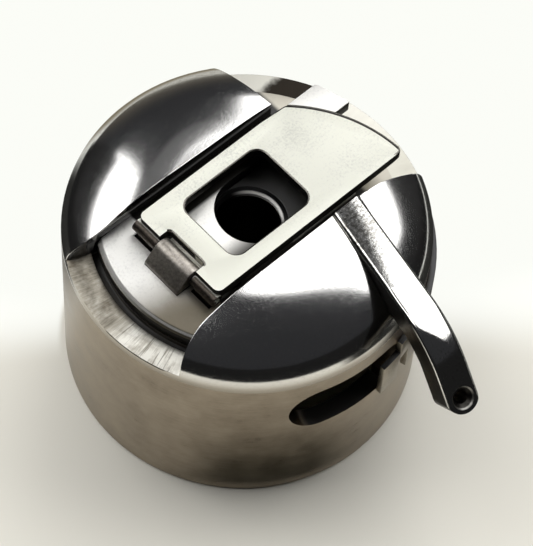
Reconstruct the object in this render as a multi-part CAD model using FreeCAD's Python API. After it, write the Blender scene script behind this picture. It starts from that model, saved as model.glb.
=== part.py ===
import FreeCAD, Part
import math
import os

# A bobbin case for a front-loading sewing machine, in millimetres.
# It stands on its open rim with the domed end up. +Z is up, the origin is on the axis of the
# post's bore in the plane of the rim, and the latch channel runs along X, hinge at -X.

# Cup
wall_radius = 12.0
wall_thickness = 1.3
cavity_depth = 12.8          # room for the bobbin, from the rim to the end wall
end_wall = 2.0               # thickness of the end wall under the latch channel
rim_round = 0.3

# Dome
dome_height = 3.55           # from the end of the straight wall to the flat top
dome_flat_radius = 5.2
dome_edge_radius = 2.2       # tighter curve where the dome runs into the wall
dome_proud = 0.15            # height of the dome above the closed lever

# Post
post_bore_radius = 2.2
post_wall = 0.75
spigot_step = 0.35           # shoulder where the post meets the end wall
post_chamfer = 0.2
press_clearance = 0.01

# Latch channel and its mouth at the hinge end
lever_side_gap = 0.65
channel_flare_angle = 1.5    # opening of the +Y side toward the hinge
guide_depth = 0.45           # undercut each side that keeps the slide down
slide_clearance = 0.05
mouth_length = 4.4           # how far in from the wall's outer face the mouth starts
mouth_round = 5.5
mouth_step = 0.27            # drop from the channel's floor to the ledge in the mouth
mouth_ledge_width = 1.75
relief_width = 0.5           # groove between the ledge and the channel's floor
relief_depth = 0.5

# Nail recess at the channel's far end
recess_x = 6.0               # where the dome ends on the +Y side
recess_flare_x = 7.3         # where the -Y side of the channel starts to open
recess_flare_angle = 9.0
far_step = 0.95
far_ledge_width = 2.0

# Slide
slide_thickness = 1.0
slide_end_inset = 2.15       # rounded end, in from the wall's outer face
slide_end_bevel = 0.3
slide_travel = 1.95
keyhole_radius = 2.56
lock_bite = 0.13             # how far the locked slide reaches over the post's bore
bar_width = 1.6              # cross bar beyond the opening
opening_spare = 0.45
tongue_from = 1.9            # +Y side of the middle line
tongue_width = 2.5
tongue_inset = 1.1           # tongue's tip, in from the wall's outer face
hook_thickness = 0.8
hook_drop = 0.8              # hook below the end wall
hook_wall_gap = 0.2
hook_slot_gap = 0.15

# Lever
lever_width = 7.5
lever_thickness = 0.8
lever_lift_angle = 60.0
lever_gap = 0.86             # slide's top to the lever's underside
lever_hinge_edge = 0.07      # plate's end, from the pin's axis
lever_nose_radius = 10.15
lever_nose_x = -0.2
lever_short_corner = 1.0
lever_long_corner = 0.4
lever_hinge_corner = 0.45
window_x = -0.25
window_length = 6.7
window_width = 5.2
window_corner = 0.8

# Hinge
pin_radius = 0.27
pin_x = -6.15
pin_height = 0.72            # slide's top to the pin's axis
pin_end_inset = 0.1
pin_clearance = 0.03
ear_radius = 0.45
strap_thickness = 0.43
strap_width = 3.1
strap_reach = 1.35           # strap's root, from the pin's axis
strap_root_height = 0.3
strap_gap = 0.15

# Cams that drive the slide
cam_inset = 0.3              # cam's inner side, from the ear's inner side
cam_width = 1.4
cam_reach = 0.2              # pin's axis to the shoulder that the cams push on
cam_back = 0.3               # pin's axis to the cam's back, within the slide
cam_clearance = 0.04
cam_side_gap = 0.15
cam_back_gap = 0.3           # behind the cam's tip

# Latch spring
wire_diameter = 0.25
coil_diameter = 1.3
coil_turns = 6
spring_length = 4.7          # seat to lug, latch closed
lug_from_post = 1.25
lug_thickness = 0.6
lug_gap = 0.05
coil_gap = 0.15
coil_end_gap = 0.02

# Position finger
finger_x = 4.24
finger_yaw_angle = 10.9
finger_width = 2.26
finger_thickness = 2.3
finger_edge = 0.3
finger_proud = 0.05
finger_overhang = 0.6        # start of the bend, out from the wall's outer face
finger_bend_radius = 6.2
finger_bend_angle = 46.0
finger_drop = 3.0
finger_seat_gap = 0.02
heel_length = 1.05           # thin end of the finger over the slide's guide
guide_roof = 0.3             # metal left between the guide and the finger's heel
eye_radius = 0.45
eye_mouth_radius = 0.78
eye_from_tip = 1.05
rivet_radius = 0.55
rivet_head_radius = 1.0
rivet_head_depth = 0.5
rivet_cover = 0.35           # finger left over the end of each rivet
rivet_shares = (0.32, 0.63)   # places along the finger's straight run

# Thread window, leaf and screws, placed by azimuth from +X
thread_window_from_angle = -119.0
thread_window_to_angle = -76.0
thread_window_margin = 0.3   # below the end wall
thread_window_height = 4.5
thread_slit_angle = 6.5      # before the window's end
thread_slit_width = 0.35
thread_slit_drop = 1.3
leaf_thickness = 0.4
leaf_gap = 0.02
leaf_overlap_angle = 11.0    # part of the window that the leaf covers
leaf_angle = 127.0           # round the wall
leaf_drop = 0.2              # leaf's lower edge below the window's
leaf_height = 4.4
tip_length = 1.7             # tongue at the leaf's end
tip_height = 3.3
throat_length = 1.0          # notch behind the tongue
neck_height = 0.9
fixing_screw_angle = 12.0    # from the leaf's far end
tension_screw_angle = 48.0
screw_radius = 0.7
screw_clearance = 0.03
screw_head_radius = 1.2
screw_head_height = 0.55
screw_head_gap = 0.05
screw_slot_width = 0.35
screw_slot_depth = 0.3
screw_end_inset = 0.15

# Levels and radii that follow
cavity_radius = wall_radius - wall_thickness
floor_z = cavity_depth + end_wall
ledge_z = floor_z - mouth_step
far_ledge_z = floor_z - far_step
slide_under = floor_z + slide_clearance
slide_top = slide_under + slide_thickness
lever_under = slide_top + lever_gap
lever_top = lever_under + lever_thickness
dome_top = lever_top + dome_proud
dome_foot_z = dome_top - dome_height
post_radius = post_bore_radius + post_wall
spigot_radius = post_radius - spigot_step
lever_half = lever_width / 2
channel_half = lever_half + lever_side_gap
guide_half = channel_half + guide_depth
slide_half = guide_half - slide_clearance
pin_z = slide_top + pin_height
lever_hinge_x = pin_x + lever_hinge_edge
strap_root_x = pin_x - strap_reach
strap_radius = pin_radius + pin_clearance + strap_thickness
ear_from = strap_width / 2 + strap_gap
cam_from = ear_from + cam_inset
lift = math.radians(lever_lift_angle)
cam_rate = slide_travel / lift
keyhole_x = keyhole_radius + lock_bite - post_bore_radius
opening_end = post_bore_radius + slide_travel + opening_spare
bar_end = opening_end + bar_width
tongue_to = tongue_from + tongue_width
tongue_radius = wall_radius - tongue_inset
hook_end = math.sqrt((cavity_radius - hook_wall_gap) ** 2 - tongue_to ** 2)
lug_x = -(post_radius + lug_from_post)
spring_seat_x = lug_x - spring_length
coil_z = floor_z - coil_gap / 2 - coil_diameter / 2
finger_top = dome_top + finger_proud
finger_run = wall_radius + finger_overhang - channel_half
rivet_places = [share * finger_run for share in rivet_shares]
heel_thickness = finger_top - slide_top - slide_clearance - guide_roof
thread_window_low = cavity_depth - thread_window_margin - thread_window_height
thread_slit_azimuth = thread_window_to_angle - thread_slit_angle
leaf_inner = wall_radius + leaf_gap
leaf_outer = leaf_inner + leaf_thickness
leaf_low = thread_window_low - leaf_drop
leaf_middle = leaf_low + leaf_height / 2
leaf_from = thread_window_to_angle - leaf_overlap_angle
leaf_to = leaf_from + leaf_angle
fixing_screw_azimuth = leaf_to - fixing_screw_angle
tension_screw_azimuth = leaf_to - tension_screw_angle
beyond = 2 * wall_radius     # safely outside the cup


def vec(x, y, z=0.0):
    return FreeCAD.Vector(x, y, z)


def block(x0, x1, y0, y1, z0, z1):
    return Part.makeBox(x1 - x0, y1 - y0, z1 - z0, vec(x0, y0, z0))


def cylinder(radius, z0, z1):
    return Part.makeCylinder(radius, z1 - z0, vec(0, 0, z0))


def ring(inner, outer, z0, z1):
    return cylinder(outer, z0, z1).cut(cylinder(inner, z0, z1))


def line(a, b):
    return Part.LineSegment(a, b).toShape()


def arc(a, middle, b):
    return Part.Arc(a, middle, b).toShape()


def lines(*points):
    return [line(a, b) for a, b in zip(points, points[1:])]


def area(edges):
    return Part.Face(Part.Wire(edges))


def prism(edges, z0, z1):
    face = area(edges)
    face.translate(vec(0, 0, z0))
    return face.extrude(vec(0, 0, z1 - z0))


def round_upright(shape, places, radius):
    # rounds the upright edges that stand nearest to the given places
    upright = []
    for edge in shape.Edges:
        low, high = edge.Vertexes[0].Point, edge.Vertexes[-1].Point
        if math.hypot(low.x - high.x, low.y - high.y) < 1e-6:
            upright.append(edge)
    chosen = []
    for x, y in places:
        chosen.append(min(upright, key=lambda e: math.hypot(e.CenterOfMass.x - x, e.CenterOfMass.y - y)))
    return shape.makeFillet(radius, chosen)


def radial(shape, azimuth):
    # a shape made on the +X axis, turned round the cup to its azimuth
    turned = shape.copy()
    turned.rotate(vec(0, 0, 0), vec(0, 0, 1), azimuth)
    return turned


def radial_pin(radius, start, end, height, azimuth):
    return radial(Part.makeCylinder(radius, end - start, vec(start, 0, height), vec(1, 0, 0)), azimuth)


def sector(inner, outer, z0, z1, start, end):
    # part of a ring between two azimuths
    corner = [vec(inner, 0, z0), vec(outer, 0, z0), vec(outer, 0, z1), vec(inner, 0, z1)]
    face = area(lines(*corner, corner[0]))
    return radial(face.revolve(vec(0, 0, 0), vec(0, 0, 1), end - start), start)


def solid_of(shape):
    # the one solid of a finished piece
    clean = shape.removeSplitter()
    return clean.Solids[0]


def finger_frame(shape):
    # from a frame with X along the finger, Y across it and Z up from its top, to its place
    placed = shape.copy()
    placed.rotate(vec(0, 0, 0), vec(0, 0, 1), -90.0 - finger_yaw_angle)
    placed.translate(vec(finger_x, -channel_half, finger_top))
    return placed


def dome_profile():
    # two tangent arcs from the flat top down to the straight wall, in the XZ plane
    small = dome_edge_radius
    width = wall_radius - small - dome_flat_radius
    large = (width ** 2 + dome_height ** 2 - small ** 2) / (2 * (dome_height - small))
    large_centre = vec(dome_flat_radius, 0, dome_top - large)
    small_centre = vec(wall_radius - small, 0, dome_foot_z)
    along = (small_centre - large_centre).normalize()
    meet = large_centre + along * large
    tilt = math.atan2(along.x, along.z)
    large_middle = large_centre + vec(math.sin(tilt / 2), 0, math.cos(tilt / 2)) * large
    half = (tilt + math.pi / 2) / 2
    small_middle = small_centre + vec(math.sin(half), 0, math.cos(half)) * small
    top = vec(dome_flat_radius, 0, dome_top)
    foot = vec(wall_radius, 0, dome_foot_z)
    return top, [arc(top, large_middle, meet), arc(meet, small_middle, foot)], foot


def turned_cup():
    top, curve, foot = dome_profile()
    diagonal = 1 - math.sqrt(0.5)
    rim_in = vec(cavity_radius, 0, 0)
    rim_out = vec(wall_radius - rim_round, 0, 0)
    rim_mid = vec(wall_radius - rim_round * diagonal, 0, rim_round * diagonal)
    wall_low = vec(wall_radius, 0, rim_round)
    edges = [line(rim_in, rim_out), arc(rim_out, rim_mid, wall_low), line(wall_low, foot)] + curve[::-1]
    edges += lines(top, vec(0, 0, dome_top), vec(0, 0, cavity_depth))
    edges += lines(vec(0, 0, cavity_depth), vec(cavity_radius, 0, cavity_depth), rim_in)
    return area(edges).revolve(vec(0, 0, 0), vec(0, 0, 1), 360)


def channel_side(x):
    # the channel's +Y wall
    return channel_half + math.tan(math.radians(channel_flare_angle)) * (recess_x - x)


def channel_plan():
    corner = [vec(beyond, -channel_half), vec(beyond, channel_half), vec(recess_x, channel_half)]
    corner += [vec(-beyond, channel_side(-beyond)), vec(-beyond, -channel_half)]
    return lines(*corner, corner[0])


def mouth_plan():
    # flared opening of the channel at the hinge end
    start = mouth_length - wall_radius
    reach = 0.9 * mouth_round
    flare = mouth_round - math.sqrt(mouth_round ** 2 - reach ** 2)
    half_reach = 0.5 * mouth_round
    half_flare = mouth_round - math.sqrt(mouth_round ** 2 - half_reach ** 2)
    upper, lower = [], []
    for along, across in ((0, 0), (half_reach, half_flare), (reach, flare)):
        upper.append(vec(start - along, channel_side(start) + across))
        lower.append(vec(start - along, -channel_half - across))
    edges = [line(lower[0], upper[0]), arc(*upper)]
    edges += lines(upper[2], vec(-beyond, upper[2].y), vec(-beyond, lower[2].y), lower[2])
    edges.append(arc(*lower[::-1]))
    return edges


def recess_plan():
    # open end of the channel where a nail gets under the lever
    slope = math.tan(math.radians(recess_flare_angle))
    drop = -channel_half - slope * (beyond - recess_flare_x)
    points = [vec(recess_x, beyond), vec(recess_x, -channel_half), vec(recess_flare_x, -channel_half)]
    points += [vec(beyond, drop), vec(beyond, beyond), vec(recess_x, beyond)]
    return lines(*points)


def cam_outline():
    # cam in the XZ plane about the pin: its front is an involute, so that the slide's
    # travel is in proportion to the lever's lift while the cam bears on its shoulder
    front = []
    for step in range(7):
        turn = lift * step / 6
        reach = cam_reach - cam_clearance + cam_rate * turn
        x = reach * math.cos(turn) - cam_rate * math.sin(turn)
        z = -reach * math.sin(turn) - cam_rate * math.cos(turn)
        front.append(vec(x, 0, z))
    curve = Part.BSplineCurve()
    curve.interpolate(front)
    depth = math.hypot(front[-1].x, front[-1].z)
    upper = [front[-1], vec(-cam_back, 0, slide_under - pin_z), vec(-cam_back, 0, 0), vec(ear_radius, 0, 0)]
    upper += [vec(ear_radius, 0, slide_top - pin_z), vec(front[0].x, 0, slide_under - pin_z), front[0]]
    return [curve.toShape()] + lines(*upper), depth, -front[-1].x


def cam_sides():
    for side in (-1, 1):
        inner = side * cam_from
        outer = side * (cam_from + cam_width)
        yield min(inner, outer), max(inner, outer)


def screw_hole(radius, start, end, azimuth):
    return radial_pin(radius, start, end, leaf_middle, azimuth)


def make_case_body():
    body = turned_cup()
    above = dome_top + 1
    cuts = [prism(channel_plan(), floor_z, above)]
    cuts.append(block(-beyond, beyond, -guide_half, guide_half, floor_z, slide_top + slide_clearance))
    mouth = prism(mouth_plan(), 0, above)
    ledge_radius = wall_radius - mouth_ledge_width
    cuts.append(mouth.common(cylinder(beyond, floor_z, above)))
    cuts.append(mouth.common(ring(ledge_radius - relief_width, beyond, ledge_z, above)))
    cuts.append(mouth.common(ring(ledge_radius - relief_width, ledge_radius, ledge_z - relief_depth, above)))
    recess = prism(recess_plan(), 0, above)
    cuts.append(recess.common(cylinder(beyond, floor_z, above)))
    cuts.append(recess.common(ring(wall_radius - far_ledge_width, beyond, far_ledge_z, above)))
    cuts.append(cylinder(spigot_radius + press_clearance, 0, above))
    groove_half = (coil_diameter + coil_gap) / 2
    groove_end = lug_x + lug_thickness + lug_gap
    cuts.append(block(spring_seat_x, groove_end, -groove_half, groove_half, coil_z - groove_half, above))
    cam_depth, cam_tip = cam_outline()[1:]
    for low, high in cam_sides():
        cuts.append(block(pin_x - cam_tip - cam_back_gap, pin_x + cam_reach, low - cam_side_gap,
                          high + cam_side_gap, pin_z - cam_depth - 2 * cam_clearance, above))
    cuts.append(block(hook_end - hook_thickness - slide_travel - hook_slot_gap, hook_end + hook_slot_gap,
                      tongue_from - hook_slot_gap, tongue_to + hook_slot_gap, 0, above))
    seat_half = finger_width / 2 + finger_seat_gap
    for start, end, depth in ((-finger_width, heel_length, heel_thickness),
                              (heel_length, beyond, finger_thickness)):
        cuts.append(finger_frame(block(start, end, -seat_half, seat_half, -depth, 1)))
    for place in rivet_places:
        cuts.append(rivet_at(place, press_clearance))
    window_half = thread_window_height / 2
    window_middle = thread_window_low + window_half
    end_turn = math.degrees(window_half / wall_radius)
    first, last = thread_window_from_angle + end_turn, thread_window_to_angle - end_turn
    cuts.append(sector(post_radius, beyond, thread_window_low, window_middle + window_half, first, last))
    for azimuth in (first, last):
        cuts.append(radial_pin(window_half, post_radius, beyond, window_middle, azimuth))
    slit_half = thread_slit_width / 2
    slit_low = thread_window_low - thread_slit_drop
    slit = block(post_radius, beyond, -slit_half, slit_half, slit_low, window_middle)
    cuts.append(radial(slit, thread_slit_azimuth))
    for azimuth in (tension_screw_azimuth, fixing_screw_azimuth):
        cuts.append(screw_hole(screw_radius + screw_clearance, post_radius, beyond, azimuth))
    for cutter in cuts:
        body = body.cut(cutter)
    return solid_of(body)


def make_center_post():
    post = ring(post_bore_radius, post_radius, 0, cavity_depth)
    post = post.fuse(ring(post_bore_radius, spigot_radius, cavity_depth, floor_z))
    mouth = Part.makeCone(post_bore_radius, post_bore_radius + post_chamfer, post_chamfer,
                          vec(0, 0, floor_z - post_chamfer))
    return solid_of(post.cut(mouth))


def slide_outline():
    end_radius = wall_radius - slide_end_inset
    end_x = -math.sqrt(end_radius ** 2 - slide_half ** 2)
    mid_y = (tongue_from + tongue_to) / 2
    tip = [vec(math.sqrt(tongue_radius ** 2 - y ** 2), y) for y in (tongue_from, mid_y, tongue_to)]
    start, end = vec(end_x, -slide_half), vec(end_x, slide_half)
    edges = lines(start, vec(bar_end, -slide_half), vec(bar_end, tongue_from), tip[0])
    edges.append(arc(*tip))
    edges += lines(tip[2], vec(bar_end, tongue_to), vec(bar_end, slide_half), end)
    edges.append(arc(end, vec(-end_radius, 0), start))
    return edges, end_radius


def strap():
    # knuckle of the slide, rolled up and over the hinge pin
    half = strap_width / 2
    roll = Part.makeCylinder(strap_radius, strap_width, vec(pin_x, -half, pin_z), vec(0, 1, 0))
    root = vec(strap_root_x, -half, slide_top + strap_root_height)
    centre = vec(pin_x, -half, pin_z)
    span = root - centre
    turn = math.acos(strap_radius / span.Length)
    bearing = math.atan2(span.z, span.x) - turn
    touch = centre + vec(math.cos(bearing), 0, math.sin(bearing)) * strap_radius
    foot = vec(strap_root_x, -half, slide_under)
    toe = vec(pin_x + strap_radius, -half, slide_under)
    web = area(lines(foot, root, touch, centre, vec(toe.x, -half, pin_z), toe, foot))
    return roll.fuse(web.extrude(vec(0, strap_width, 0)))


def make_latch_slide():
    edges, end_radius = slide_outline()
    plate = prism(edges, slide_under, slide_top)
    keyhole = Part.makeCylinder(keyhole_radius, slide_thickness, vec(keyhole_x, 0, slide_under))
    keyhole = keyhole.fuse(block(keyhole_x, opening_end, -keyhole_radius, keyhole_radius,
                                 slide_under, slide_top))
    plate = plate.cut(keyhole)
    corner = [vec(end_radius - slide_end_bevel, 0, slide_top)]
    corner.append(vec(end_radius + slide_end_bevel, 0, slide_top))
    corner.append(vec(end_radius + slide_end_bevel, 0, slide_top - 2 * slide_end_bevel))
    bevel = area(lines(*corner, corner[0])).revolve(vec(0, 0, 0), vec(0, 0, 1), 180)
    plate = plate.cut(radial(bevel, 90))
    plate = plate.fuse(strap())
    cam_depth = cam_outline()[1]
    slot_end = pin_x + cam_reach + slide_travel + cam_side_gap
    for low, high in cam_sides():
        plate = plate.cut(block(pin_x - cam_back - cam_side_gap, slot_end, low - cam_side_gap,
                                high + cam_side_gap, pin_z - cam_depth, slide_top))
    plate = plate.cut(Part.makeCylinder(pin_radius + pin_clearance, lever_width,
                                        vec(pin_x, -lever_half, pin_z), vec(0, 1, 0)))
    lug_half = coil_diameter / 2
    plate = plate.fuse(block(lug_x, lug_x + lug_thickness, -lug_half, lug_half, coil_z - lug_half, slide_top))
    hook = block(hook_end - hook_thickness, hook_end, tongue_from, tongue_to,
                 cavity_depth - hook_drop, slide_under)
    return solid_of(plate.fuse(hook))


def make_latch_lever():
    nose_y = -lever_half
    long_x = lever_nose_x + lever_nose_radius
    short_x = lever_nose_x + math.sqrt(lever_nose_radius ** 2 - lever_width ** 2)
    swing = math.asin(lever_width / lever_nose_radius) / 2
    nose_middle = vec(lever_nose_x + lever_nose_radius * math.cos(swing),
                      nose_y + lever_nose_radius * math.sin(swing))
    long_corner, short_corner = vec(long_x, nose_y), vec(short_x, lever_half)
    back = [vec(lever_hinge_x, lever_half), vec(lever_hinge_x, -lever_half)]
    edges = [arc(long_corner, nose_middle, short_corner)] + lines(short_corner, *back, long_corner)
    plate = prism(edges, lever_under, lever_top)
    plate = round_upright(plate, [(short_x, lever_half)], lever_short_corner)
    plate = round_upright(plate, [(long_x, nose_y)], lever_long_corner)
    plate = round_upright(plate, [(p.x, p.y) for p in back], lever_hinge_corner)
    half_length, half_width = window_length / 2, window_width / 2
    low_x, high_x = window_x - half_length, window_x + half_length
    window = block(low_x, high_x, -half_width, half_width, lever_under, lever_top)
    corners = [(x, y) for x in (low_x, high_x) for y in (-half_width, half_width)]
    lever = plate.cut(round_upright(window, corners, window_corner))
    for side in (-1, 1):
        start = min(side * ear_from, side * lever_half)
        lever = lever.fuse(Part.makeCylinder(ear_radius, lever_half - ear_from,
                                             vec(pin_x, start, pin_z), vec(0, 1, 0)))
    outline = area(cam_outline()[0])
    for low, high in cam_sides():
        cam = outline.extrude(vec(0, high - low, 0))
        cam.translate(vec(pin_x, low, pin_z))
        lever = lever.fuse(cam)
    notch_end = pin_x + strap_radius + strap_gap
    notch = block(-beyond, notch_end, -ear_from, ear_from, lever_under - 1, lever_top + 1)
    notch = round_upright(notch, [(notch_end, -ear_from), (notch_end, ear_from)], strap_gap * 2)
    lever = lever.cut(notch)
    hole = Part.makeCylinder(pin_radius + press_clearance, lever_width,
                             vec(pin_x, -lever_half, pin_z), vec(0, 1, 0))
    return solid_of(lever.cut(hole))


def make_hinge_pin():
    length = lever_width - 2 * pin_end_inset
    return Part.makeCylinder(pin_radius, length, vec(pin_x, -length / 2, pin_z), vec(0, 1, 0))


def biarc(start, start_way, end, end_way):
    # two tangent arcs from one point and direction to another
    chord = end - start
    ways = start_way + end_way
    a = 2 * (start_way.dot(end_way) - 1)
    b = -2 * chord.dot(ways)
    c = chord.dot(chord)
    reach = (-b - math.sqrt(b * b - 4 * a * c)) / (2 * a)
    reach = reach if reach > 0 else (-b + math.sqrt(b * b - 4 * a * c)) / (2 * a)
    first, second = start + start_way * reach, end - end_way * reach
    joint = (first + second) * 0.5
    pieces = []
    for a_point, corner, b_point in ((start, first, joint), (joint, second, end)):
        middle = (a_point + b_point) * 0.5
        up = corner - middle
        half_chord = (b_point - a_point).Length / 2
        slant = math.atan2(up.Length, half_chord)
        rise = half_chord * math.tan(slant / 2)
        pieces.append(arc(a_point, middle + up * (rise / up.Length), b_point))
    return pieces


def coil_point(turn, start_x, pitch):
    radius = (coil_diameter - wire_diameter) / 2
    angle = 2 * math.pi * turn
    return vec(start_x + pitch * turn, radius * math.cos(angle), coil_z + radius * math.sin(angle))


def coil_way(turn, pitch):
    radius = (coil_diameter - wire_diameter) / 2
    angle = 2 * math.pi * turn
    way = vec(pitch / (2 * math.pi), -radius * math.sin(angle), radius * math.cos(angle))
    return way.normalize()


def make_latch_spring():
    start_x = spring_seat_x + coil_end_gap + wire_diameter / 2
    end_x = lug_x - coil_end_gap - wire_diameter / 2
    pitch = (end_x - start_x) / coil_turns
    edges = []
    quarters = 4 * coil_turns
    for quarter in range(quarters):
        here, there = quarter / 4, (quarter + 1) / 4
        edges += biarc(coil_point(here, start_x, pitch), coil_way(here, pitch),
                       coil_point(there, start_x, pitch), coil_way(there, pitch))
    path = Part.Wire(edges)
    start = coil_point(0, start_x, pitch)
    section = Part.Wire(Part.makeCircle(wire_diameter / 2, start, coil_way(0, pitch)))
    shell = Part.BRepOffsetAPI.MakePipeShell(path)
    shell.add(section)
    shell.build()
    shell.makeSolid()
    half_turn = 12
    count = 2 * half_turn * coil_turns + 1
    points = [coil_point(k / (2 * half_turn), start_x, pitch) for k in range(count)]
    apart = []
    for index, point in enumerate(points):
        apart += [(point - other).Length for other in points[index + half_turn:]]
    print("latch spring, least gap between turns: %.3f mm" % (min(apart) - wire_diameter))
    return shell.shape()


def finger_section(s):
    # rounded bar section across the finger at distance s along it
    half, low, r = finger_width / 2, -finger_thickness, finger_edge
    diagonal = r * (1 - math.sqrt(0.5))
    corner = []
    for y, z, in_y, in_z in ((half, 0, -1, -1), (half, low, -1, 1), (-half, low, 1, 1), (-half, 0, 1, -1)):
        along_z, along_y = vec(s, y, z + in_z * r), vec(s, y + in_y * r, z)
        middle = vec(s, y + in_y * diagonal, z + in_z * diagonal)
        corner.append((along_z, middle, along_y))
    edges = [arc(corner[0][2], corner[0][1], corner[0][0]), line(corner[0][0], corner[1][0])]
    edges += [arc(*corner[1]), line(corner[1][2], corner[2][2])]
    edges += [arc(corner[2][2], corner[2][1], corner[2][0]), line(corner[2][0], corner[3][0])]
    edges += [arc(*corner[3]), line(corner[3][2], corner[0][2])]
    return area(edges)


def rivet_at(place, spare):
    # flush rivet from the cavity up into the finger, with its countersunk head in the end wall
    start = cavity_depth - finger_top
    shank = Part.makeCylinder(rivet_radius + spare, -rivet_cover - start, vec(place, 0, start))
    head = Part.makeCone(rivet_head_radius + spare, rivet_radius + spare, rivet_head_depth,
                         vec(place, 0, start))
    return finger_frame(shank.fuse(head))


def make_position_finger():
    root = finger_section(-finger_width).extrude(vec(finger_run + finger_width, 0, 0))
    hub = vec(finger_run, 0, -finger_bend_radius)
    bend = finger_section(finger_run).revolve(hub, vec(0, 1, 0), finger_bend_angle)
    tip = finger_section(finger_run).extrude(vec(finger_drop, 0, 0))
    half = finger_width / 2
    end = finger_run + finger_drop
    rounded = [line(vec(finger_run - half, -half), vec(end - half, -half))]
    rounded.append(arc(vec(end - half, -half), vec(end, 0), vec(end - half, half)))
    rounded += lines(vec(end - half, half), vec(finger_run - half, half), vec(finger_run - half, -half))
    tip = tip.common(prism(rounded, -2 * finger_thickness, finger_thickness))
    eye_x = end - eye_from_tip
    eye = Part.makeCylinder(eye_radius, 3 * finger_thickness, vec(eye_x, 0, -2 * finger_thickness))
    mouth_depth = eye_mouth_radius - eye_radius
    mouth = Part.makeCone(eye_radius, eye_mouth_radius, mouth_depth, vec(eye_x, 0, -mouth_depth))
    tip = tip.cut(eye).cut(mouth)
    tip.rotate(hub, vec(0, 1, 0), finger_bend_angle)
    heel = block(-2 * finger_width, heel_length + finger_seat_gap, -finger_width, finger_width,
                 -2 * finger_thickness, -heel_thickness)
    finger = finger_frame(root.cut(heel).fuse(bend).fuse(tip))
    finger = finger.cut(block(-beyond, beyond, -channel_half, beyond, 0, finger_top + 1))
    for place in rivet_places:
        finger = finger.cut(rivet_at(place, press_clearance))
    return solid_of(finger)


def make_finger_rivets():
    return Part.makeCompound([solid_of(rivet_at(place, 0)) for place in rivet_places])


def make_tension_spring():
    top = leaf_low + leaf_height
    leaf = sector(leaf_inner, leaf_outer, leaf_low, top, leaf_from, leaf_to)
    tip_top = leaf_low + tip_height
    tip_end = leaf_from + math.degrees(tip_length / leaf_outer)
    throat_end = tip_end + math.degrees(throat_length / leaf_outer)
    inside, outside = leaf_inner - leaf_thickness, leaf_outer + leaf_thickness
    leaf = leaf.cut(sector(inside, outside, tip_top, 2 * top, leaf_from - leaf_overlap_angle, tip_end))
    leaf = leaf.cut(sector(inside, outside, 0, tip_top - neck_height, tip_end, throat_end))
    for azimuth in (tension_screw_azimuth, fixing_screw_azimuth):
        leaf = leaf.cut(screw_hole(screw_radius + screw_clearance, cavity_radius, beyond, azimuth))
    return solid_of(leaf)


def make_screw(azimuth):
    under = leaf_outer + screw_head_gap
    top = under + screw_head_height
    shank = Part.makeCylinder(screw_radius, under - cavity_radius - screw_end_inset,
                              vec(cavity_radius + screw_end_inset, 0, leaf_middle), vec(1, 0, 0))
    head = Part.makeCylinder(screw_head_radius, screw_head_height, vec(under, 0, leaf_middle), vec(1, 0, 0))
    head = head.makeFillet(screw_head_height / 4, [head.Edges[0]])
    slot = block(top - screw_slot_depth, top + 1, -screw_slot_width / 2, screw_slot_width / 2, 0, beyond)
    return radial(solid_of(shank.fuse(head).cut(slot)), azimuth)


pieces = {
    "case_body": make_case_body(),
    "center_post": make_center_post(),
    "latch_slide": make_latch_slide(),
    "latch_lever": make_latch_lever(),
    "hinge_pin": make_hinge_pin(),
    "latch_spring": make_latch_spring(),
    "position_finger": make_position_finger(),
    "finger_rivets": make_finger_rivets(),
    "tension_spring": make_tension_spring(),
    "tension_screw": make_screw(tension_screw_azimuth),
    "fixing_screw": make_screw(fixing_screw_azimuth),
}
os.makedirs("parts", exist_ok=True)
for name, shape in pieces.items():
    shape.exportStep("parts/%s.step" % name)
    print("%s: %d solid(s), %.2f mm3, valid %s" % (name, len(shape.Solids), shape.Volume, shape.isValid()))
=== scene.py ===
import bpy
import bmesh
import math
from mathutils import Matrix, Vector


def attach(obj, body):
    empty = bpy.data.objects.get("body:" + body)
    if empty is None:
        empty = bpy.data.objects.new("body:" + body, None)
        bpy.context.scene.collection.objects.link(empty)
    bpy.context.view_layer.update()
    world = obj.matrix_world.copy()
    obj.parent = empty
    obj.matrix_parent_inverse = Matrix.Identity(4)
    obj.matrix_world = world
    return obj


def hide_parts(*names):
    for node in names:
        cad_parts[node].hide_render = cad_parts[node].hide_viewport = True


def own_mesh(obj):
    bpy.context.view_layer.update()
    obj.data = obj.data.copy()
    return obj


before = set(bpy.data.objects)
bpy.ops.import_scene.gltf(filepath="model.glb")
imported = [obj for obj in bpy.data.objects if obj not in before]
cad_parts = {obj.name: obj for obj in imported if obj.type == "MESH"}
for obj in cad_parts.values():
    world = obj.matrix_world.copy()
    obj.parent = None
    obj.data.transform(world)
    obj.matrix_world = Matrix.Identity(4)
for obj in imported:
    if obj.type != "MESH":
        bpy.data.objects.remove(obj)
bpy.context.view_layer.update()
mm = 0.001
print("frame loaded")

scene = bpy.context.scene
scene.view_settings.view_transform = "Standard"


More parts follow.
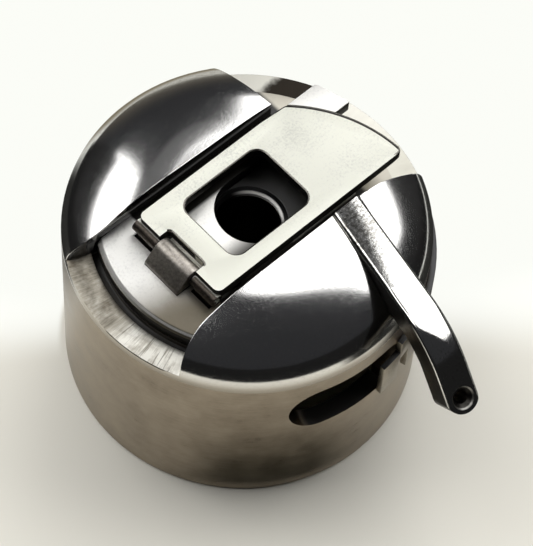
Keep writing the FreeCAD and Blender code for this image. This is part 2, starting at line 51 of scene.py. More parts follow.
class Wire:  # a socket that can be written into sums
    def __init__(self, tree, socket=None):
        self.tree, self.socket = tree, socket

    def node(self, kind, settings, sockets, output=0):
        made = self.tree.nodes.new(kind)
        for key, value in settings.items():
            if key == "stops":
                ramp = made.color_ramp.elements
                while len(ramp) < len(value):
                    ramp.new(0.5)
                for stop, (spot, colour) in zip(ramp, value):
                    stop.position, stop.color = spot, colour
            else:
                setattr(made, key, value)
        for key, value in sockets.items():
            if isinstance(value, Wire):
                self.tree.links.new(value.socket, made.inputs[key])
            else:
                made.inputs[key].default_value = value
        return Wire(self.tree, made.outputs[output])

    def maths(self, operation, *values):
        return self.node("ShaderNodeMath", {"operation": operation}, dict(enumerate(values)))

    def __add__(self, other):
        return self.maths("ADD", self, other)

    def __sub__(self, other):
        return self.maths("SUBTRACT", self, other)

    def __rsub__(self, other):
        return self.maths("SUBTRACT", other, self)

    def __mul__(self, other):
        return self.maths("MULTIPLY", self, other)

    def __truediv__(self, other):
        return self.maths("DIVIDE", self, other)

    def __pow__(self, other):
        return self.maths("POWER", self, other)

    def __abs__(self):
        return self.maths("ABSOLUTE", self)

    __radd__ = __add__

    def dot(self, other):
        return self.node("ShaderNodeVectorMath", {"operation": "DOT_PRODUCT"}, {0: self, 1: other}, 1)

    def part(self, axis):  # 0, 1 or 2 for a vector's x, y or z
        return self.node("ShaderNodeSeparateXYZ", {}, {0: self}, axis)

    def step(self, low, high):  # 0 below low, 1 above high
        return self.node("ShaderNodeMapRange", {"interpolation_type": "SMOOTHSTEP"},
                         {"Value": self, "From Min": low, "From Max": high})

    def past(self, border, soft):  # 0 below the border, 1 above it
        return self.step(border - soft, border + soft)

    def within(self, low, high, soft):  # 1 between low and high
        return self.past(low, soft) * (1 - self.past(high, soft))

    def swing(self, amount):  # a noise about zero
        return (self - 0.5) * amount

    def blend(self, first, second):  # numbers, by this mask
        return first * (1 - self) + self * second

    def mix(self, first, second):  # colours, by this mask
        return self.node("ShaderNodeMix", {"data_type": "RGBA"}, {0: self, 6: first, 7: second}, 2)

    def ramp(self, *stops):
        return self.node("ShaderNodeValToRGB", {"stops": stops}, {"Fac": self})


def rgb(red, green, blue):
    return (red, green, blue, 1.0)


def clearTree(owner):  # of a material or the world
    owner.use_nodes = True
    owner.node_tree.nodes.clear()
    return Wire(owner.node_tree)


def finishTree(wire, socket, kind="ShaderNodeOutputMaterial"):
    wire.tree.links.new(socket, wire.tree.nodes.new(kind).inputs[0])


def startMaterial(name):
    material = bpy.data.materials.new(name)
    wire = clearTree(material)
    shader = wire.tree.nodes.new("ShaderNodeBsdfPrincipled")
    finishTree(wire, shader.outputs[0])
    return material, shader, wire


def connect(shader, wire, **sockets):
    for key, value in sockets.items():
        socket = shader.inputs[key.replace("_", " ")]
        if isinstance(value, Wire):
            wire.tree.links.new(value.socket, socket)
        else:
            socket.default_value = value


def place(wire):  # object coordinates in millimetres: vector, x, y, z
    spot = wire.node("ShaderNodeTexCoord", {}, {}, 3)
    scaled = wire.node("ShaderNodeVectorMath", {"operation": "SCALE"}, {0: spot, "Scale": 1 / mm})
    return [scaled] + [scaled.part(axis) for axis in range(3)]


def reach(x, y, centre=(0.0, 0.0)):  # distance from an upright axis
    outX, outY = x - centre[0], y - centre[1]
    return (outX * outX + outY * outY) ** 0.5


def grain(wire, vector, scale, detail=3.0, rough=0.6, stretch=None):
    if stretch:
        vector = wire.node("ShaderNodeVectorMath", {"operation": "MULTIPLY"}, {0: vector, 1: stretch})
    return wire.node("ShaderNodeTexNoise", {}, {"Vector": vector, "Scale": scale, "Detail": detail,
                                                "Roughness": rough})


def rays(wire, angle, radius, count, stretch, shift, detail, rough):  # a grain drawn out from the axis
    fan = wire.node("ShaderNodeCombineXYZ", {}, {0: angle * count, 1: radius * stretch, 2: shift})
    return grain(wire, fan, 1.0, detail, rough)


def bump(wire, height, strength, distance=0.01):
    return wire.node("ShaderNodeBump", {}, {"Height": height, "Strength": strength,
                                            "Distance": distance * mm})


def facing(wire):  # the face's own direction in object space
    true = wire.node("ShaderNodeNewGeometry", {}, {}, "True Normal")
    return wire.node("ShaderNodeVectorTransform", {"vector_type": "NORMAL", "convert_from": "WORLD",
                                                   "convert_to": "OBJECT"}, {0: true})


# steel of the cup: polished dome, satin wall, machined ledges, cut faces painted near-black as shade; lengths
# in mm
cupLook = {
    # noises: scale, detail, roughness and stretch
    "speckle": (7.0, 4.0, 0.7), "dents": (4.5, 1.0), "cloud": (0.45, 4.0), "blotch": (1.1, 3.0),
    "turned": (1.0, 4.0, 0.7, (0.6, 0.6, 12.0)),
    # noises drawn out from the axis: count, stretch, shift, detail and roughness
    "radial": (34.0, 0.3, 0.0, 4.0, 0.75), "scratches": (75.0, 0.3, 3.0, 2.0, 0.6),
    # half widths of the masks' borders, and the upward part of a face's direction
    "soft": 0.05, "crisp": 0.02, "steep": (0.05, 0.2), "level": (0.8, 0.95),
    # wall, dome, and cut faces with their painted shade
    "wall": 11.8, "floor": 15.0, "cutFrom": 12.9, "cut": rgb(0.013, 0.012, 0.011), "cutDull": 0.92,
    "wallTones": ((0.34, rgb(0.235, 0.19, 0.137)), (0.66, rgb(0.385, 0.325, 0.25))),
    "wallTurned": 0.4, "wallCloud": 0.6,
    "polishFrom": 13.8, "polishFull": 14.05, "edge": rgb(0.36, 0.325, 0.27), "toneFull": 15.2,
    "domeTones": ((0.30, rgb(0.62, 0.61, 0.59)), (0.46, rgb(0.80, 0.79, 0.77))),
    # ledge at the latch's mouth, brighter to one side, with scratches and a painted shadow line along its
    # outer edge
    "ledgeHalf": 0.06, "mouthLedge": 14.53, "mouthEnds": -5.05,
    "brightSide": (-1.2, 0.7), "sideWander": 2.5, "sideShare": 0.24, "blotchShare": 0.6, "radialShare": 0.55,
    "mouthTones": ((0.45, rgb(0.17, 0.148, 0.112)), (0.68, rgb(0.46, 0.43, 0.365)),
                   (0.86, rgb(0.80, 0.78, 0.71))),
    "scratched": (0.44, 0.32), "scratchShare": 0.75, "scratch": rgb(0.2, 0.18, 0.14),
    "burrShadowFrom": (11.89, 11.93), "burrShadowHeights": (14.41, 14.5, 0.012), "burrShadowSides": (-4.4, 0.1, 0.2),
    "burrShadow": rgb(0.045, 0.04, 0.032),
    # ledge at the far side, with painted shade in one place, and the channel's floor there
    "farLedge": 13.85, "farFrom": 4.05, "farTurn": (-3.0, 0.0),
    "farTones": (rgb(0.60, 0.585, 0.51), rgb(0.71, 0.695, 0.625)),
    "paintedLightSides": (4.4, 7.25, 0.35), "paintedLightWander": 0.8, "paintedLight": rgb(0.03, 0.025, 0.02),
    "farFloorFrom": (7.1, 7.5), "farFloorAbove": (14.5, 14.6), "farFloor": rgb(0.52, 0.49, 0.42),
    # roughness and relief
    "satin": 0.34, "turnedRough": 0.25, "cloudRough": 0.2, "ledgeRough": 0.34, "radialRough": 0.2,
    "polish": 0.13, "pits": (0.5, 0.3), "pitRough": 0.12,
    "turnedLift": 0.5, "dentLift": 0.4, "speckleLift": 0.1, "domeSpeckleLift": 0.45, "relief": 0.25,
}


def ledge(z, height):
    return z.within(height - cupLook["ledgeHalf"], height + cupLook["ledgeHalf"], cupLook["crisp"])


def cupSteel():
    look = cupLook
    material, shader, wire = startMaterial("cupSteel")
    vector, x, y, z = place(wire)
    radius, angle = reach(x, y), wire.maths("ARCTAN2", y, x)
    speckle, dents, cloud, blotch, turned = [grain(wire, vector, *look[key]) for key in
                                             ("speckle", "dents", "cloud", "blotch", "turned")]
    radial, scratches = [rays(wire, angle, radius, *look[key]) for key in ("radial", "scratches")]
    up = wire.node("ShaderNodeNewGeometry", {}, {}, "Normal").part(2)
    inside = 1 - radius.past(look["wall"], look["soft"])
    # painted shade: steep cut faces inside the wall, and low flat floors, are painted near-black
    cut = (1 - up.step(*look["steep"])) * inside * z.past(look["cutFrom"], look["soft"])
    flat = up.step(*look["level"]) * (1 - z.past(look["floor"], look["crisp"]))
    mouth = 1 - x.past(look["mouthEnds"], look["soft"])
    near = flat * ledge(z, look["mouthLedge"]) * mouth
    far = flat * ledge(z, look["farLedge"]) * x.past(look["farFrom"], look["soft"])
    farFloor = flat * x.step(*look["farFloorFrom"]) * z.step(*look["farFloorAbove"])
    domed = z.step(look["polishFrom"], look["polishFull"])
    # painted shadow: a thin dark line along the mouth ledge's outer edge
    burrShadow = radius.step(*look["burrShadowFrom"]) * z.within(*look["burrShadowHeights"])
    burrShadow = burrShadow * y.within(*look["burrShadowSides"]) * mouth

    wallTone = (turned * look["wallTurned"] + cloud * look["wallCloud"]).ramp(*look["wallTones"])
    domeTone = speckle.ramp(*look["domeTones"])
    domeTone = z.step(look["polishFull"], look["toneFull"]).mix(look["edge"], domeTone)
    side = 1 - (y + blotch.swing(look["sideWander"])).step(*look["brightSide"])
    stain = side * look["sideShare"] + blotch * look["blotchShare"] + radial * look["radialShare"]
    nearTone = stain.ramp(*look["mouthTones"])
    nearTone = (scratches.step(*look["scratched"]) * look["scratchShare"]).mix(nearTone, look["scratch"])
    # painted shade: a near-black patch on the far ledge
    paintedLight = (y + blotch.swing(look["paintedLightWander"])).within(*look["paintedLightSides"])
    farTone = paintedLight.mix(y.step(*look["farTurn"]).mix(*look["farTones"]), look["paintedLight"])
    # painted shade, near-black and less metallic, on cut faces and low flat floors
    tone = (cut + flat).mix(domed.mix(wallTone, domeTone), look["cut"])
    tone = far.mix(near.mix(tone, nearTone), farTone)
    tone = burrShadow.mix(farFloor.mix(tone, look["farFloor"]), look["burrShadow"])

    rough = look["satin"] + turned.swing(look["turnedRough"]) + cloud.swing(look["cloudRough"])
    rough = domed.blend(rough, look["polish"] + speckle.step(*look["pits"]) * look["pitRough"])
    rough = flat.blend(rough, look["ledgeRough"] + radial * look["radialRough"])
    relief = turned * (1 - domed) * look["turnedLift"] + radial * near + dents * domed * look["dentLift"]
    relief = relief + speckle * (look["speckleLift"] + domed * look["domeSpeckleLift"])
    connect(shader, wire, Base_Color=tone, Roughness=rough,
            Normal=bump(wire, relief * (1 - cut), look["relief"]),
            Metallic=1 - (cut + flat - near - far - farFloor) * look["cutDull"])
    return material


# pale satin of the slide and the lever, with grit, and a hinge darkened by painted shade; lengths in mm
paleLook = {
    "grit": (4.0, 0.7), "cloud": (0.35, 3.0), "gritShare": 0.6, "cloudShare": 0.4, "dullShare": 0.8,
    "dullAt": 0.34, "lightAt": 0.5, "tanSlope": 0.25, "tanFade": (-4.8, -0.8), "upright": (0.2, 0.5),
    "gritRough": 0.2, "cloudRough": 0.15, "hingeRough": 0.4, "hingeGrit": 0.1, "relief": 0.15,
}
slideLook = {
    # tan is the colour of a painted shade
    "light": rgb(1.0, 0.99, 0.95), "tan": rgb(0.22, 0.195, 0.15), "side": rgb(0.03, 0.028, 0.025),
    "rough": 0.55, "gritScale": 5.0, "strap": (15.95, 16.05),
    "hingeTones": ((0.3, rgb(0.28, 0.25, 0.22)), (0.7, rgb(0.62, 0.58, 0.52))),
    "stripEnds": (-5.8, 6.9, 0.1), "farStrip": (2.3, 2.6), "nearStrip": (-3.6, -3.3),
    "patchFrom": (-5.0, -4.5), "patchTo": (0.0, 1.0), "patchSide": (-2.2, -0.5), "patchShare": 0.9,
    "noseFrom": (6.8, 7.0), "noseCentre": (0.44, -3.13), "noseReach": (10.28, 10.36),
    "roundEnd": (-7.3, -7.1), "rolled": (9.6, 9.72, 0.03),
}
leverLook = {
    "light": rgb(0.95, 0.95, 0.86), "tan": rgb(0.95, 0.95, 0.86), "side": rgb(0.03, 0.028, 0.025),
    "rough": 0.62, "gritScale": 6.0, "barrel": (-6.2, -6.08),
    "hingeTones": ((0.3, rgb(0.05, 0.042, 0.036)), (0.7, rgb(0.14, 0.12, 0.10))),
    "noseFrom": (3.0, 4.0), "noseCentre": (-0.2, -3.75), "noseReach": (9.89, 9.93),
    "notchX": (-5.33, -5.2, 0.03), "notchY": (-1.45, -0.75, 0.12), "notchTop": (17.35, 17.45),
}


def paleSteel(name, look, hinge, paintedLight, covered):
    material, shader, wire = startMaterial(name)
    vector, x, y, z = place(wire)
    grit = grain(wire, vector, look["gritScale"], *paleLook["grit"])
    cloud = grain(wire, vector, *paleLook["cloud"])
    dull = rgb(*[paleLook["dullShare"] * part for part in look["light"][:3]])
    tone = grit * paleLook["gritShare"] + cloud * paleLook["cloudShare"]
    tone = tone.ramp((paleLook["dullAt"], dull), (paleLook["lightAt"], look["light"]))
    # painted shade: the tan tone grows towards the -y side and the round end; on the lever it equals the
    # light tone
    tan = 1 - (y + x * paleLook["tanSlope"] + cloud.swing(1.0)).step(*paleLook["tanFade"])
    shade = 1 - abs(facing(wire).part(2)).step(*paleLook["upright"])
    shade = wire.maths("MINIMUM", shade + covered(x, y), 1.0)
    joint = hinge(x, z)
    tone = shade.mix(tan.mix(tone, look["tan"]), look["side"])
    tone = joint.mix(tone, grit.ramp(*look["hingeTones"]))
    # painted highlights in the light tone: a line on the slide's round end, a spot in the lever's notch
    tone = paintedLight(x, y, z).mix(tone, look["light"])
    rough = look["rough"] + grit.swing(paleLook["gritRough"]) + cloud.swing(paleLook["cloudRough"])
    rough = joint.blend(rough, paleLook["hingeRough"] + grit * paleLook["hingeGrit"])
    connect(shader, wire, Base_Color=tone, Roughness=rough, Metallic=1.0,
            Normal=bump(wire, grit, paleLook["relief"]))
    return material


# painted shade: the slide's strap takes darker tones
def strapHinge(x, z):
    return z.step(*slideLook["strap"])


# painted shade: the lever's barrels are near-black
def barrelHinge(x, z):
    return 1 - x.step(*leverLook["barrel"])


def underLever(x, y):  # painted shade: the slide is dark where the lever lies over it, beside it and at its wide end
    look = slideLook
    strips = x.within(*look["stripEnds"]) * (y.step(*look["farStrip"]) + 1 - y.step(*look["nearStrip"]))
    patch = x.step(*look["patchFrom"]) * (1 - x.step(*look["patchTo"])) * (1 - y.step(*look["patchSide"]))
    nose = x.step(*look["noseFrom"]) * (1 - reach(x, y, look["noseCentre"]).step(*look["noseReach"]))
    return strips + patch * look["patchShare"] + nose


def noseEdge(x, y):  # painted shade along the broken edge of the lever's wide end
    return reach(x, y, leverLook["noseCentre"]).step(*leverLook["noseReach"]) * x.step(*leverLook["noseFrom"])


def slideEdgeHighlight(x, y, z):  # painted highlight along the edge of the slide's round end
    return (1 - x.step(*slideLook["roundEnd"])) * reach(x, y).within(*slideLook["rolled"])


def notchHighlight(x, y, z):  # painted highlight in the lever's notch
    spot = x.within(*leverLook["notchX"]) * y.within(*leverLook["notchY"])
    return spot * (1 - z.step(*leverLook["notchTop"]))


# bright plating of the finger; its crown, lean and soft bend are relief in the finish; lengths in mm
fingerLook = {
    "root": (4.24, -4.4), "yaw": 10.9, "lean": 0.115, "leanEnds": 8.0, "crown": 0.05,
    "bendFrom": 7.6, "bendTo": 11.2, "bendLift": 0.35, "bendSlant": 1.5,
    "speckle": (6.0, 4.0, 0.7), "speckleLift": 0.004,
    "tones": ((0.32, rgb(0.52, 0.51, 0.49)), (0.45, rgb(0.82, 0.81, 0.78))),
    "rough": 0.1, "pits": (0.48, 0.3), "pitRough": 0.15,
    "dirtAndShade": rgb(0.14, 0.13, 0.105), "dirtGrain": (5.0, 2.0), "dirtSpots": (0.36, 0.66), "dirtShare": 0.8,
    "dirtSlant": 1.2, "dirtEnds": (1.0, 9.0),
    "flank": rgb(0.05, 0.046, 0.04), "sideways": (0.86, 0.96), "downward": (-0.35, -0.1), "flankRough": 0.25,
    "eye": (1.59, -18.16, 14.41), "eyeAxis": (-0.136, -0.706, 0.695), "mouth": 0.78, "lip": 0.02,
    "eyeTone": rgb(0.05, 0.047, 0.042), "eyeRough": 0.3,
    "ringTone": rgb(0.42, 0.41, 0.38), "ringWidth": 0.1, "ringSoft": 0.03, "coneSlope": 0.95,
}


def fingerSteel():
    look = fingerLook
    material, shader, wire = startMaterial("fingerSteel")
    vector, x, y = place(wire)[:3]
    turn = math.radians(look["yaw"])
    outX, outY = x - look["root"][0], y - look["root"][1]
    along = outX * -math.sin(turn) - outY * math.cos(turn)
    across = outX * math.cos(turn) - outY * math.sin(turn)
    speckle = grain(wire, vector, *look["speckle"])
    lean = (1 - along.step(0.0, look["leanEnds"])) * look["lean"]
    bend = (along - across * look["bendSlant"]).step(look["bendFrom"], look["bendTo"])
    crown = across * lean - across * across * (look["crown"] / 2) + bend * look["bendLift"]
    crown = crown + speckle * look["speckleLift"]

    # painted shade: the finger's flanks and underside are dark and rougher
    sideways = abs(facing(wire).dot((math.cos(turn), -math.sin(turn), 0.0))).step(*look["sideways"])
    under = 1 - facing(wire).part(2).step(*look["downward"])
    flankShade = wire.maths("MAXIMUM", sideways, under)
    # dark spots towards the root, on one side: partly dirt, partly painted shade
    dirtAndShadeSpots = grain(wire, vector, *look["dirtGrain"]).step(*look["dirtSpots"])
    dirtAndShadeSpots = dirtAndShadeSpots * (1 - (along + across * look["dirtSlant"]).step(*look["dirtEnds"]))
    tone = (dirtAndShadeSpots * look["dirtShare"]).mix(speckle.ramp(*look["tones"]), look["dirtAndShade"])
    tone = flankShade.mix(tone, look["flank"])

    # painted shade in the eye's hole and cone, with a lighter ring at its mouth as a painted highlight
    fromEye = wire.node("ShaderNodeVectorMath", {"operation": "SUBTRACT"}, {0: vector, 1: look["eye"]})
    depth = fromEye.dot(look["eyeAxis"])
    fromAxis = (fromEye.dot(fromEye) - depth * depth) ** 0.5
    mouth, lip = look["mouth"], look["lip"]
    hole = 1 - fromAxis.step(mouth - lip, mouth + 2 * lip)
    ring = fromAxis.within(mouth - look["ringWidth"], mouth - lip, look["ringSoft"])
    tone = ring.mix(hole.mix(tone, look["eyeTone"]), look["ringTone"])
    rough = look["rough"] + speckle.step(*look["pits"]) * look["pitRough"]
    rough = rough + flankShade * look["flankRough"] + hole * look["eyeRough"]
    connect(shader, wire, Base_Color=tone, Roughness=rough, Metallic=1.0, Normal=bump(wire, crown, 1.0, 1.0))
    return material


# small pieces: leaf, post, pin and rivets, spring, screws, and the lever's broken edge, painted dark as shade
turnedLook = {"grain": (6.0, 4.0, 0.7), "darkAt": 0.35, "lightAt": 0.6, "darkened": rgb(0.03, 0.03, 0.03)}
turnedTones = {  # dark tone, light tone, roughness, unevenness
    "leafSteel": (rgb(0.30, 0.265, 0.215), rgb(0.40, 0.36, 0.295), 0.38, 0.06),
    "postSteel": (rgb(0.86, 0.84, 0.80), rgb(0.94, 0.92, 0.88), 0.3, 0.03),
    "pinSteel": (rgb(0.46, 0.46, 0.45), rgb(0.56, 0.56, 0.55), 0.25, 0.06),
    "springSteel": (rgb(0.42, 0.43, 0.45), rgb(0.54, 0.55, 0.58), 0.22, 0.06),
    "screwSteel": (rgb(0.48, 0.465, 0.43), rgb(0.6, 0.58, 0.54), 0.25, 0.06),
    "edgeSteel": (rgb(0.10, 0.095, 0.085), rgb(0.2, 0.19, 0.17), 0.25, 0.06),
}
postLook = {"rimSquare": (5.3, 5.7), "arcSlant": 0.2, "arcFrom": (0.9, 2.0), "arcAbove": (14.3, 14.35),
            "darkAbove": (13.2, 13.4)}
leafLook = {"upward": (0.6, 0.9), "dull": 0.9}


def turnedSteel(name, darkened=None):
    dark, light, rough, gritty = turnedTones[name]
    material, shader, wire = startMaterial(name)
    vector, x, y, z = place(wire)
    grit = grain(wire, vector, *turnedLook["grain"])
    tone = grit.ramp((turnedLook["darkAt"], dark), (turnedLook["lightAt"], light))
    metallic = 1.0
    if darkened:
        mask, chalky = darkened(wire, x, y, z)
        tone = mask.mix(tone, turnedLook["darkened"])
        metallic = 1 - chalky
    connect(shader, wire, Base_Color=tone, Roughness=rough + grit.swing(gritty), Metallic=metallic,
            Normal=bump(wire, grit, gritty / 2))
    return material


def inBore(wire, x, y, z):  # painted shade in the bore and on top, but for an arc of the rim kept light and non-metallic as a painted highlight
    outer = (x * x + y * y).step(*postLook["rimSquare"])
    arc = (x + y * postLook["arcSlant"]).step(*postLook["arcFrom"])
    arc = arc * z.step(*postLook["arcAbove"]) * (1 - outer)
    return (1 - arc) * (1 - outer * (1 - z.step(*postLook["darkAbove"]))), arc


def leafEdgeShade(wire, x, y, z):  # painted shade: the strip's upper edge is dark
    edge = facing(wire).part(2).step(*leafLook["upward"])
    return edge, edge * leafLook["dull"]


finishes = {
    "cup_steel": cupSteel(),
    "slide_steel": paleSteel("slideSteel", slideLook, strapHinge, slideEdgeHighlight, underLever),
    "lever_steel": paleSteel("leverSteel", leverLook, barrelHinge, notchHighlight, noseEdge),
    "finger_steel": fingerSteel(),
    "leaf_steel": turnedSteel("leafSteel", leafEdgeShade),
    "post_steel": turnedSteel("postSteel", inBore),
    "pin_steel": turnedSteel("pinSteel"),
    "spring_steel": turnedSteel("springSteel"),
    "screw_steel": turnedSteel("screwSteel"),
}
# painted shade: the lever's broken edges take a dark finish
edgeFinishes = {"latch_lever": turnedSteel("edgeSteel")}  # for the broken edges alone
print("finishes made")

copies = {  # node: body, slot, width of the broken edge in mm
    "case_body": ("case", "cup_steel", 0.05),
    "center_post": ("case", "post_steel", 0.0),
    "latch_slide": ("slide", "slide_steel", 0.05),
    "latch_lever": ("lever", "lever_steel", 0.12),
    "hinge_pin": ("lever", "pin_steel", 0.03),
    "latch_spring": ("case", "spring_steel", 0.0),
    "position_finger": ("case", "finger_steel", 0.0),
    "finger_rivets": ("case", "pin_steel", 0.0),
    "tension_spring": ("case", "leaf_steel", 0.05),
    "tension_screw": ("adjuster", "screw_steel", 0.025),
    "fixing_screw": ("case", "screw_steel", 0.025),
}
copyRules = {  # mm and degrees
    "weld": 0.0005, "flatAngle": 0.4, "sharpAngle": 32.0, "smoothAngle": 28.0,
    "rimTop": 0.6, "seatFrom": (1.2, -10.0, 14.2), "plateFrom": -5.5, "plateAbove": 16.6,
}


def caseEdge(edge):  # the rim is rounded already, and the finger covers its seat's end
    dirtAndShadeSpots = [corner.co for corner in edge.verts]
    right, front, high = [value * mm for value in copyRules["seatFrom"]]
    seat = all(spot.x > right and spot.y < front and spot.z > high for spot in dirtAndShadeSpots)
    return max(spot.z for spot in dirtAndShadeSpots) > copyRules["rimTop"] * mm and not seat


def leverEdge(edge):  # the plate's edges only
    dirtAndShadeSpots = [corner.co for corner in edge.verts]
    return (min(spot.x for spot in dirtAndShadeSpots) > copyRules["plateFrom"] * mm
            and min(spot.z for spot in dirtAndShadeSpots) > copyRules["plateAbove"] * mm)


edgeRules = {"case_body": caseEdge, "latch_lever": leverEdge}


def meshObject(name, shape):  # uses the shape up
    mesh = bpy.data.meshes.new(name)
    shape.to_mesh(mesh)
    shape.free()
    made = bpy.data.objects.new(name, mesh)
    scene.collection.objects.link(made)
    return made


def finishedCopy(node, body, slot, width):
    shape = bmesh.new()
    shape.from_mesh(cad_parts[node].data)
    bmesh.ops.remove_doubles(shape, verts=shape.verts[:], dist=copyRules["weld"] * mm)
    bmesh.ops.dissolve_limit(shape, angle_limit=math.radians(copyRules["flatAngle"]),
                             verts=shape.verts[:], edges=shape.edges[:])
    if width:
        limit = math.radians(copyRules["sharpAngle"])
        sharp = [edge for edge in shape.edges if edge.is_manifold and edge.calc_face_angle(0) > limit]
        if node in edgeRules:
            sharp = [edge for edge in sharp if edgeRules[node](edge)]
        broken = bmesh.ops.bevel(shape, geom=sharp, offset=width * mm, affect="EDGES", segments=2,
                                 profile=0.5, material=-1, clamp_overlap=False)
        if node in edgeFinishes:
            for face in broken["faces"]:
                face.material_index = 1
    for face in shape.faces:
        face.smooth = True
    for edge in shape.edges:
        edge.smooth = edge.is_manifold and edge.calc_face_angle(0) < math.radians(copyRules["smoothAngle"])
    piece = meshObject(node + "Finished", shape)
    piece.data.materials.append(finishes[slot])
    if node in edgeFinishes:
        piece.data.materials.append(edgeFinishes[node])
    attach(piece, body)
    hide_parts(node)
    return piece


# the dome's profile in mm, as the solids have it
dome = {"flatRadius": 5.2, "edgeRadius": 2.2, "footRadius": 12.0, "foot": 14.11, "top": 17.66,
        "slack": 0.02, "curveSlack": 0.03, "below": -0.01, "match": 0.97}


def domeNormal(point):  # true surface direction of the dome and the wall at a point, or None off them
    x, y, z = [value / mm for value in point]
    radius = math.hypot(x, y)
    if z < dome["foot"]:
        return Vector((x, y, 0)).normalized() if abs(radius - dome["footRadius"]) < dome["slack"] else None
    if radius < dome["flatRadius"]:
        return Vector((0, 0, 1)) if abs(z - dome["top"]) < dome["slack"] else None
    small = dome["edgeRadius"]
    width, rise = dome["footRadius"] - dome["flatRadius"], dome["top"] - dome["foot"]
    large = ((width - small) ** 2 + rise ** 2 - small ** 2) / (2 * (rise - small))
    smallX, smallZ = dome["footRadius"] - small, dome["foot"]
    largeX, largeZ = dome["flatRadius"], dome["top"] - large
    tilt = math.atan2(radius - largeX, z - largeZ)
    meet = math.atan2(smallX - largeX, smallZ - largeZ)
    centreX, centreZ, bend = (largeX, largeZ, large) if tilt < meet else (smallX, smallZ, small)
    outX, outZ = radius - centreX, z - centreZ
    if abs(math.hypot(outX, outZ) - bend) > dome["curveSlack"] or outZ < dome["below"]:
        return None
    return Vector((outX * x / radius, outX * y / radius, outZ)).normalized()


def onDome(mesh, face):
    found = [domeNormal(mesh.vertices[v].co) for v in face.vertices]
    if all(way is not None and way.dot(face.normal) > dome["match"] for way in found):
        return found


def onEye(mesh, face):  # the countersink's facets are shaded as one cone
    eye, axis = Vector(fingerLook["eye"]) * mm, Vector(fingerLook["eyeAxis"]).normalized()
    outward = [(v - eye) - axis * (v - eye).dot(axis) for v in (mesh.vertices[k].co for k in face.vertices)]
    along = face.normal.dot(axis)
    rim = (fingerLook["mouth"] + fingerLook["lip"]) * mm
    if max(v.length for v in outward) < rim and abs(along) < fingerLook["coneSlope"]:
        return [axis * along - v.normalized() * math.sqrt(1 - along * along) for v in outward]


def polish(piece, directions):  # faces on a known surface take its directions
    mesh = piece.data
    normals = [corner.vector.copy() for corner in mesh.corner_normals]
    for face in mesh.polygons:
        for corner, way in zip(face.loop_indices, directions(mesh, face) or ()):
            normals[corner] = way
    mesh.normals_split_custom_set(normals)


made = {node: finishedCopy(node, *how) for node, how in copies.items()}
polish(made["case_body"], onDome)
polish(made["position_finger"], onEye)
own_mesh(made["latch_spring"])
print("pieces finished")

# paper under the part, its size in m, whiter on the far side and, in mm from the axis, all round
floorLook = {"near": rgb(0.69, 0.67, 0.60), "far": rgb(0.97, 0.98, 0.93), "size": 0.6,
             "farWay": (0.64, 0.768), "fade": (-0.16, 0.26), "footprint": (12.17, 12.65),
             "whiteFrom": (68.0, 105.0)}


def makeFloor():
    look = floorLook
    shape = bmesh.new()
    bmesh.ops.create_grid(shape, x_segments=1, y_segments=1, size=look["size"] / 2)
    floor = meshObject("floor", shape)
    material = bpy.data.materials.new("floorPaper")
    wire = clearTree(material)
    x, y = place(wire)[1:3]
    along, radius = x * look["farWay"][0] + y * look["farWay"][1], reach(x, y)
    far = (along / radius).step(*look["fade"]) * radius.step(*look["footprint"])
    far = wire.maths("MAXIMUM", far, radius.step(*look["whiteFrom"]))
    camera, glossy, through = [wire.node("ShaderNodeLightPath", {}, {}, "Is %s Ray" % kind)
                               for kind in ("Camera", "Glossy", "Transmission")]
    nearPaper, farPaper = [wire.node("ShaderNodeBsdfDiffuse", {}, {"Color": look[key]})
                           for key in ("near", "far")]
    paper = wire.node("ShaderNodeMixShader", {}, {0: far, 1: nearPaper, 2: farPaper})
    white = wire.node("ShaderNodeEmission", {}, {"Color": look["far"], "Strength": 1.0})
    both = wire.node("ShaderNodeMixShader", {}, {0: far * (camera + glossy + through), 1: paper, 2: white})
    finishTree(wire, both.socket)
    floor.data.materials.append(material)


makeFloor()

lampRing = {"distance": 0.3, "centre": (0, 0, 0.015)}  # m
lamps = {  # azimuth, angle from the zenith, turn, width and height, all in degrees, and radiance
    "mainBox": (10.0, 43.5, -61.0, 58.0, 49.0, 2.1),
    "backBox": (99.0, 51.0, 0.0, 31.0, 25.0, 2.3),
    "softBox": (57.0, 32.0, -50.0, 22.0, 20.0, 0.1),
    "leftBox": (127.0, 27.0, 0.0, 30.0, 28.0, 2.6),
    "floorBack": (55.0, 34.0, 0.0, 56.0, 56.0, 2.0),
    "floorLeft": (126.0, 58.0, 0.0, 40.0, 40.0, 2.8),
    "floorRight": (334.0, 58.0, 0.0, 40.0, 40.0, 2.8),
}


def looking(way, roll):  # a lamp's or camera's rotation
    return way.to_track_quat("-Z", "Y").to_matrix() @ Matrix.Rotation(math.radians(roll), 3, "Z")


def makeLamp(name, azimuth, slant, spin, wide, high, radiance):
    distance = lampRing["distance"]
    turn, lean = math.radians(azimuth), math.radians(slant)
    away = Vector((math.sin(lean) * math.cos(turn), math.sin(lean) * math.sin(turn), math.cos(lean)))
    lamp = bpy.data.lights.new(name, "AREA")
    lamp.shape = "RECTANGLE"
    lamp.size = 2 * distance * math.tan(math.radians(wide / 2))
    lamp.size_y = 2 * distance * math.tan(math.radians(high / 2))
    lamp.energy = radiance * math.pi * lamp.size * lamp.size_y
    body = bpy.data.objects.new(name, lamp)
    spot = away * distance + Vector(lampRing["centre"])
    body.matrix_world = Matrix.Translation(spot) @ looking(-away, spin).to_4x4()
    body.visible_glossy = not name.startswith("floor")  # those light the paper only
    scene.collection.objects.link(body)


for name, values in lamps.items():
    makeLamp(name, *values)

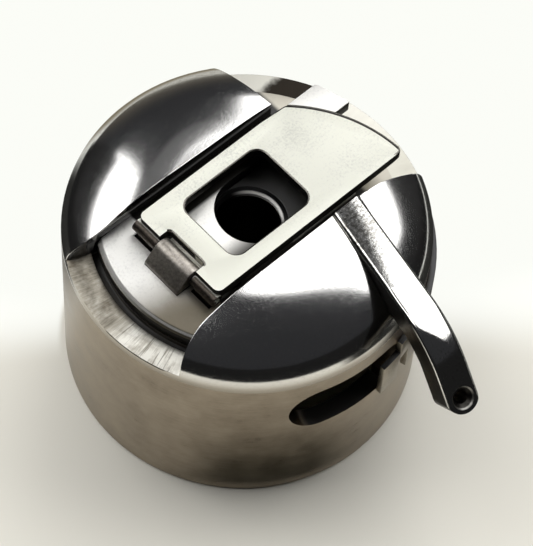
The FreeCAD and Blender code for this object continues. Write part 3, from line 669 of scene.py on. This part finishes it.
# dark screens and strips, seen in reflections only: from and to azimuth in degrees, distance and height in mm
# of the first and of the second edge, degrees over which the ends fade, share of the way where the second
# edge's fade starts, colour
cardSteps = 24
cards = {
    "darkScreen": (85.0, 375.0, (75.0, 0.0), (75.0, 60.0), 2.0, 0.95, rgb(0.012, 0.012, 0.012)),
    "brownScreen": (18.0, 94.0, (34.0, 0.0), (34.0, 24.0), 13.0, 0.1, rgb(0.24, 0.21, 0.15)),
    "brownFloor": (18.0, 94.0, (12.6, 0.1), (34.0, 0.1), 12.0, 0.99, rgb(0.24, 0.21, 0.15)),
    # frontScreen to rightScreen lie on the paper as painted shade: seen in reflections only, they darken the
    # paper there
    "frontScreen": (200.0, 276.0, (12.4, 0.1), (18.0, 0.1), 26.0, 0.25, rgb(0.035, 0.036, 0.03)),
    "leftScreen": (84.0, 142.0, (16.5, 0.1), (75.0, 0.1), 16.0, 0.99, rgb(0.03, 0.03, 0.028)),
    "tipScreen": (268.0, 308.0, (31.0, 0.1), (75.0, 0.1), 10.0, 0.99, rgb(0.03, 0.03, 0.028)),
    "rightScreen": (284.0, 376.0, (16.5, 0.1), (64.0, 0.1), 18.0, 0.8, rgb(0.03, 0.03, 0.028)),
}


def makeCard(name, start, end, low, high, softEnds, softFrom, colour):
    shape = bmesh.new()
    rows = []
    for k in range(cardSteps + 1):
        turn = math.radians(start + (end - start) * k / cardSteps)
        rows.append([shape.verts.new((away * mm * math.cos(turn), away * mm * math.sin(turn), tall * mm))
                     for away, tall in (low, high)])
    for first, second in zip(rows, rows[1:]):
        shape.faces.new((first[0], second[0], second[1], first[1]))
    card = meshObject(name, shape)
    card.visible_camera = card.visible_diffuse = card.visible_shadow = False
    material = bpy.data.materials.new(name)
    wire = clearTree(material)
    x, y, z = place(wire)[1:]
    middle, half = math.radians((start + end) / 2), math.radians((end - start) / 2)
    ahead = x * math.cos(middle) + y * math.sin(middle)
    aside = y * math.cos(middle) - x * math.sin(middle)
    turned = abs(wire.maths("ARCTAN2", aside, ahead))
    run, rise = high[0] - low[0], high[1] - low[1]
    way = ((reach(x, y) - low[0]) * run + (z - low[1]) * rise) / (run * run + rise * rise)
    cover = (1 - turned.step(half - math.radians(softEnds), half)) * (1 - way.step(softFrom, 1.0))
    clear = wire.node("ShaderNodeBsdfTransparent", {}, {})
    glow = wire.node("ShaderNodeEmission", {}, {"Color": colour, "Strength": 1.0})
    both = wire.node("ShaderNodeMixShader", {}, {0: cover, 1: clear, 2: glow})
    finishTree(wire, both.socket)
    card.data.materials.append(material)


for name, values in cards.items():
    makeCard(name, *values)

# dim all round, and as white as the paper where the camera sees it
worldLook = {"dim": rgb(0.9, 0.92, 1.0), "dimStrength": 0.03}
world = bpy.data.worlds.new("studio")
air = clearTree(world)
dim = air.node("ShaderNodeBackground", {}, {"Color": worldLook["dim"], "Strength": worldLook["dimStrength"]})
backdrop = air.node("ShaderNodeBackground", {}, {"Color": floorLook["far"], "Strength": 1.0})
seenDirectly = air.node("ShaderNodeLightPath", {}, {}, "Is Camera Ray")
sky = air.node("ShaderNodeMixShader", {}, {0: seenDirectly, 1: dim, 2: backdrop})
finishTree(air, sky.socket, "ShaderNodeOutputWorld")
scene.world = world
print("floor and light set")

view = {"from": (-64.973, -62.901, 165.627), "at": (-1.785, -3.688, 15.0), "roll": 4.81,
        "lens": 180.57, "sensor": 36.0, "clip": (0.005, 10.0)}
camera = bpy.data.cameras.new("camera")
camera.lens, camera.sensor_width = view["lens"], view["sensor"]
camera.clip_start, camera.clip_end = view["clip"]
cameraBody = bpy.data.objects.new("camera", camera)
start, target = Vector(view["from"]) * mm, Vector(view["at"]) * mm
cameraBody.matrix_world = Matrix.Translation(start) @ looking(target - start, view["roll"]).to_4x4()
scene.collection.objects.link(cameraBody)
scene.camera = cameraBody
print("camera set")
